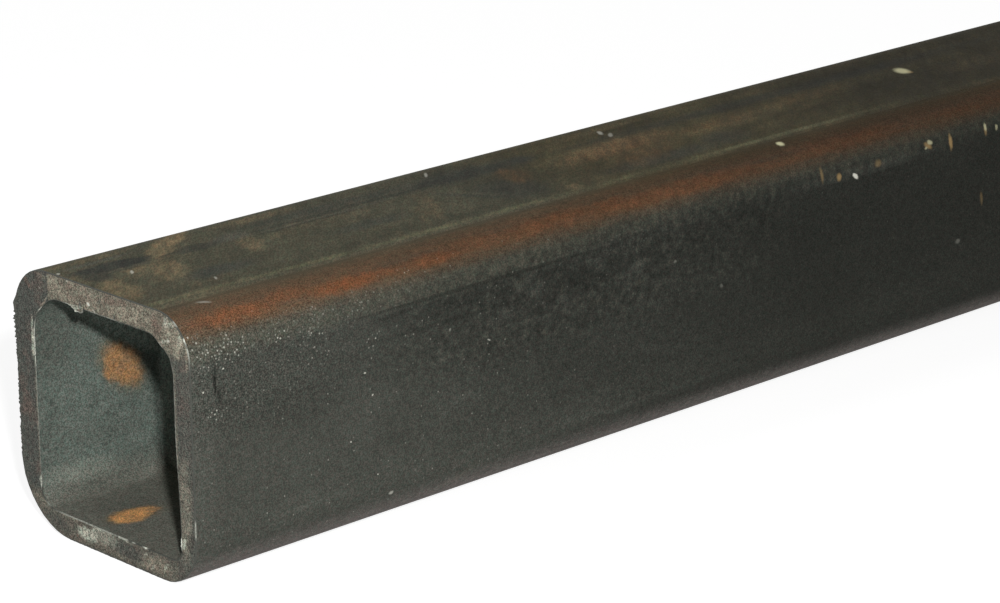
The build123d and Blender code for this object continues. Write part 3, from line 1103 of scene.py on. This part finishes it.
def on_cut(part):
    """Whether all of an edge or face lies in the plane of one of the two cuts."""
    return any(all(abs(vertex.co.x - x) < TOUCH for vertex in part.verts) for x in (CAD_LOW.x, CAD_HIGH.x))


def in_bore(face, stock):
    """Whether the middle of a face lies deeper than half the wall, as all of the bore does.

    The outside of the roundest corner reaches that deep too, so a narrow strip of it counts as bore.
    """
    middle = face.calc_center_median() - MOUTH
    return (abs(middle.y) < stock.width / 2 - stock.wall / 2
            and abs(middle.z) < stock.height / 2 - stock.wall / 2)


def sort_faces(tube, stock):
    """Gives each face the place of its finish."""
    for finish, test in ((SKIN, lambda face: True),
                         (BORE, lambda face: in_bore(face, stock)),
                         (CUT, on_cut)):
        pick(tube, "FACE", test)
        tube.active_material_index = finish
        bpy.ops.object.material_slot_assign()


def break_rims(tube, stock):
    """Turns the four sharp edges round the cuts into narrow rims."""
    pick(tube, "EDGE", lambda edge: on_cut(edge) and not all(on_cut(face) for face in edge.link_faces))
    bpy.ops.mesh.bevel(offset=stock.rim_break, segments=2, profile=0.6, affect="EDGES", material=RIM,
                       clamp_overlap=False)


def lip_at(point):
    """How far the saw dragged the mouth's inner edge forwards at a point of it, from 0 to 1."""
    z = point.z / MM
    if point.y > 0:
        return ease(z, 6.0, 10.0) * ease(-z, -46.5, -45.5)
    return 0.65 * ease(-z, -30.0, -10.0)


# Nicks and lumps of the mouth's inner edge, by towards the back and up: reach, and how far up, in
# millimetres.
NICKS = (
    (-17.2, 44.7, 2.4, -0.5),
    (-20.2, 42.2, 1.6, 0.5),
    (5.4, 46.0, 0.8, 0.8),
    (8.0, 46.0, 1.6, -0.4),
    (17.6, 44.0, 2.0, -0.3),
)


def nick_at(point):
    """How far up a nick or lump moves a point of the mouth's inner edge, in millimetres."""
    ups = 0.0
    for y, z, reach, up in NICKS:
        share = math.dist((point.y, point.z), (y * MM, z * MM)) / (reach * MM)
        ups += up * (1 - ease(share, 0.0, 1.0))
    return ups


def shift(tube, name, weights, strength, settings):
    """Displaces vertices by their weights: weights is a list of (vertex, weight)."""
    group = tube.vertex_groups.new(name=name)
    for index, weight in weights:
        group.add([index], weight, "REPLACE")
    bpy.ops.object.modifier_add(type="DISPLACE")
    push = tube.modifiers[-1]
    push.vertex_group = group.name
    push.strength = strength
    for setting, value in settings.items():
        setattr(push, setting, value)
    bpy.ops.object.modifier_apply(modifier=push.name)
    tube.vertex_groups.remove(tube.vertex_groups[name])


def drag_lips(tube, stock):
    """Draws the inner edge of the near cut forwards into thin lips."""
    bpy.ops.object.mode_set(mode="OBJECT")
    mesh = bmesh.new()
    mesh.from_mesh(tube.data)
    lips = []
    nicks = []
    lumps = []
    for vertex in mesh.verts:
        finishes = {face.material_index for face in vertex.link_faces}
        if vertex.co.x < CAD_LOW.x + TOUCH and BORE in finishes:
            lips.append((vertex.index, lip_at(vertex.co)))
            nicks.append((vertex.index, max(nick_at(vertex.co), 0.0)))
            lumps.append((vertex.index, max(-nick_at(vertex.co), 0.0)))
    mesh.free()
    shift(tube, "nick", nicks, MM, {"direction": "Z", "mid_level": 0.0})
    shift(tube, "lump", lumps, -MM, {"direction": "Z", "mid_level": 0.0})
    shift(tube, "lip", lips, -stock.lip, {"direction": "Y", "mid_level": 0.0})
    bpy.ops.object.mode_set(mode="EDIT")


def burr_at(point):
    """How heavy the burr is at a point of a rim, from 0 to 1."""
    if point.x > 0:
        return LIGHT_BURR
    off = [(math.dist((point.y, point.z), (y * MM, z * MM)) / (reach * MM), strength)
           for y, z, reach, strength in BURRS]
    return max([LIGHT_BURR] + [strength * (1 - ease(share, 0.5, 1.0)) for share, strength in off])


def raise_burr(tube, stock):
    """Pulls the crests of the rims out into a ragged burr."""
    bpy.ops.object.mode_set(mode="OBJECT")
    mesh = bmesh.new()
    mesh.from_mesh(tube.data)
    crests = []
    for vertex in mesh.verts:
        if all(face.material_index == RIM for face in vertex.link_faces):
            crests.append((vertex.index, burr_at(vertex.co)))
    mesh.free()
    teeth = bpy.data.textures.new("burr_teeth", "CLOUDS")
    teeth.noise_scale = stock.burr_grain
    teeth.contrast = 2.0
    shift(tube, "burr", crests, stock.burr_height,
          {"texture": teeth, "texture_coords": "LOCAL", "mid_level": 0.2})


def girth_at(y, z, stock):
    """How far round the outside a point lies, forwards from the back edge of the flat top."""
    radii = dict(zip(CORNERS, stock.outer_radii))
    centres = {(side, level): Vector((side * (stock.width / 2 - radii[side, level]),
                                      level * (stock.height / 2 - radii[side, level])))
               for side, level in CORNERS}
    point = Vector((y, z - MOUTH.z))
    passed = 0.0
    for before, corner in zip((BACK_TOP,) + WAY_ROUND, WAY_ROUND):
        forwards = (Vector(corner) - Vector(before)) / 2
        outwards = Vector((forwards.y, -forwards.x))
        gone = (point - centres[before]).dot(forwards)
        ahead = (point - centres[corner]).dot(forwards)
        out = (point - centres[corner]).dot(outwards)
        if out > 0 and gone >= 0 and ahead <= 0:
            return passed + gone
        passed += (centres[corner] - centres[before]).dot(forwards)
        if out >= 0 and ahead > 0:
            return passed + radii[corner] * math.atan2(ahead, out)
        passed += radii[corner] * math.pi / 2
    return passed


def map_girth(tube, stock):
    """Stores how far along and round the tube each corner of the skin's faces lies, as a UV map.

    Round runs both ways from the back edge of the flat top and meets itself under the tube.
    """
    work_on(tube)
    layer = tube.data.uv_layers.new(name=GIRTH)
    whole = girth_at(0.0, MOUTH.z, stock)
    under = girth_at(0.0, CAD_LOW.z, stock)
    known = {}
    for face in tube.data.polygons:
        if face.material_index != SKIN:
            continue
        middle = girth_at(face.center.y, face.center.z, stock)
        for loop in face.loop_indices:
            x, y, z = tube.data.vertices[tube.data.loops[loop].vertex_index].co
            spot = (round(y, 7), round(z, 7))
            if spot not in known:
                known[spot] = girth_at(y, z, stock)
            step = known[spot] - middle
            step -= whole * round(step / whole)
            back = whole if middle > under else 0.0
            layer.data[loop].uv = (x - CAD_LOW.x, middle - back + step)


class TUBE_OT_stock(bpy.types.Operator):
    """Model the tube and give it its finishes"""

    bl_idname = "tube.stock"
    bl_label = "Roll the tube"

    def execute(self, context):
        stock = context.scene.tube_stock
        tint = context.scene.tube_finish
        tube = draw_tube(stock)
        bpy.ops.object.mode_set(mode="OBJECT")
        for finish in (mill_scale, bore_scale, cut_steel, burr_steel):
            tube.data.materials.append(finish(tint))
        bpy.ops.object.mode_set(mode="EDIT")
        sort_faces(tube, stock)
        drag_lips(tube, stock)
        break_rims(tube, stock)
        raise_burr(tube, stock)
        map_girth(tube, stock)
        bpy.ops.object.shade_smooth_by_angle(angle=math.radians(20.0))
        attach(tube, "root")
        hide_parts("square_tube")
        return {"FINISHED"}


# ---------------------------------------------------------------- the stage

# Where the camera stands, from the middle of the mouth: its direction, and how far it is moved aside and up.
VIEW_AZIMUTH = -43.633
VIEW_ELEVATION = 17.60
VIEW_ROLL = -0.47
VIEW_DISTANCE = 628.9 * MM
VIEW_RIGHT = 71.32 * MM
VIEW_UP = 21.53 * MM

# Azimuth and elevation of the two lamps.
KEY_FROM = (-33.3, 24.7)
FILL_FROM = (150.0, 55.0)

# The light from all round.
AMBIENT = 0.15

# The floor: its width, how pale it is for the tube beside it, and its paleness and glow where it is seen.
FLOOR_SIZE = 20.0
FLOOR_PALE = 0.8
FLOOR_LIT = 0.4
FLOOR_GLOW = 0.82


def away(azimuth, elevation):
    """The direction from the tube to something seen at this azimuth and elevation, in degrees."""
    a = math.radians(azimuth)
    e = math.radians(elevation)
    return Vector((math.sin(a) * math.cos(e), -math.cos(a) * math.cos(e), math.sin(e)))


def set_camera(context, lens):
    """Looks along the tube from its mouth, a little from above."""
    back = away(VIEW_AZIMUTH, VIEW_ELEVATION)
    facing = back.to_track_quat("Z", "Y")
    right = facing @ Vector((1.0, 0.0, 0.0))
    up = facing @ Vector((0.0, 1.0, 0.0))
    spot = MOUTH + back * VIEW_DISTANCE + right * VIEW_RIGHT + up * VIEW_UP
    bpy.ops.object.camera_add(location=spot)
    camera = context.object
    roll = Euler((0.0, 0.0, math.radians(VIEW_ROLL))).to_quaternion()
    camera.rotation_euler = (facing @ roll).to_euler()
    camera.data.lens = lens
    camera.data.sensor_width = 36.0
    camera.data.clip_start = 0.01
    context.scene.camera = camera


def shine(context, name, source, distance, size, power):
    """Adds a round lamp that looks at the mouth of the tube from an azimuth and an elevation."""
    back = away(*source)
    bpy.ops.object.light_add(type="AREA", location=MOUTH + back * distance)
    lamp = context.object
    lamp.name = name
    lamp.data.shape = "DISK"
    lamp.data.size = size
    lamp.data.energy = power
    lamp.rotation_euler = back.to_track_quat("Z", "Y").to_euler()


def lay_floor():
    """A pale floor that shows white to the eye and to reflections, and keeps the tube's shadow."""
    bpy.ops.object.select_all(action="DESELECT")
    bpy.ops.mesh.primitive_plane_add(size=FLOOR_SIZE)
    floor = bpy.context.object
    floor.name = "floor"
    paint = Finish("pale_floor")
    paint.tree.nodes.remove(paint.shader)
    pale = paint.node("ShaderNodeBsdfDiffuse", sockets={"Color": (FLOOR_PALE,) * 3})
    lit = paint.node("ShaderNodeBsdfDiffuse", sockets={"Color": (FLOOR_LIT,) * 3})
    glow = paint.node("ShaderNodeEmission", sockets={"Color": (1.0, 1.0, 1.0), "Strength": FLOOR_GLOW})
    white = paint.node("ShaderNodeAddShader", sockets={0: lit, 1: glow})
    shown = paint.node("ShaderNodeMixShader", sockets={0: paint.seen(), 1: pale, 2: white})
    paint.plug(paint.tree.nodes["Material Output"].inputs["Surface"], shown)
    floor.data.materials.append(paint.material)


def surround(context):
    """Even light from all round, seen as plain white."""
    world = bpy.data.worlds.new("studio")
    context.scene.world = world
    world.use_nodes = True
    air = Finish("studio", world.node_tree)
    level = air.node("ShaderNodeMix", {"data_type": "FLOAT"}, {0: air.seen(), 2: AMBIENT, 3: 1.0})
    air.plug(air.tree.nodes["Background"].inputs["Color"], (1.0, 1.0, 1.0))
    air.plug(air.tree.nodes["Background"].inputs["Strength"], level)


class TUBE_OT_stage(bpy.types.Operator):
    """Set the floor, the lamps and the camera"""

    bl_idname = "tube.stage"
    bl_label = "Set the stage"

    def execute(self, context):
        setting = context.scene.tube_studio
        set_camera(context, setting.lens)
        shine(context, "key", KEY_FROM, setting.key_distance, setting.key_size, setting.key_power)
        shine(context, "fill", FILL_FROM, setting.fill_distance, setting.fill_size, setting.fill_power)
        lay_floor()
        surround(context)
        context.scene.view_settings.view_transform = "Standard"
        return {"FINISHED"}


class TUBE_PT_panel(bpy.types.Panel):
    """Lists the steps, and the values that they read"""

    bl_idname = "TUBE_PT_panel"
    bl_label = "Square steel tube"
    bl_space_type = "VIEW_3D"
    bl_region_type = "UI"
    bl_category = "Tube"

    def draw(self, context):
        for step in (TUBE_OT_stock, TUBE_OT_stage):
            self.layout.operator(step.bl_idname)
        for group in (context.scene.tube_stock, context.scene.tube_finish, context.scene.tube_studio):
            box = self.layout.box()
            for name in group.__annotations__:
                box.prop(group, name)


CLASSES = (TubeStock, TubeFinish, StudioSetting, TUBE_OT_stock, TUBE_OT_stage, TUBE_PT_panel)


def register():
    for cls in CLASSES:
        bpy.utils.register_class(cls)
    bpy.types.Scene.tube_stock = PointerProperty(type=TubeStock)
    bpy.types.Scene.tube_finish = PointerProperty(type=TubeFinish)
    bpy.types.Scene.tube_studio = PointerProperty(type=StudioSetting)


def unregister():
    del bpy.types.Scene.tube_studio
    del bpy.types.Scene.tube_finish
    del bpy.types.Scene.tube_stock
    for cls in reversed(CLASSES):
        bpy.utils.unregister_class(cls)


def main():
    register()
    bpy.ops.tube.stock()
    bpy.ops.tube.stage()


if __name__ == "__main__":
    main()
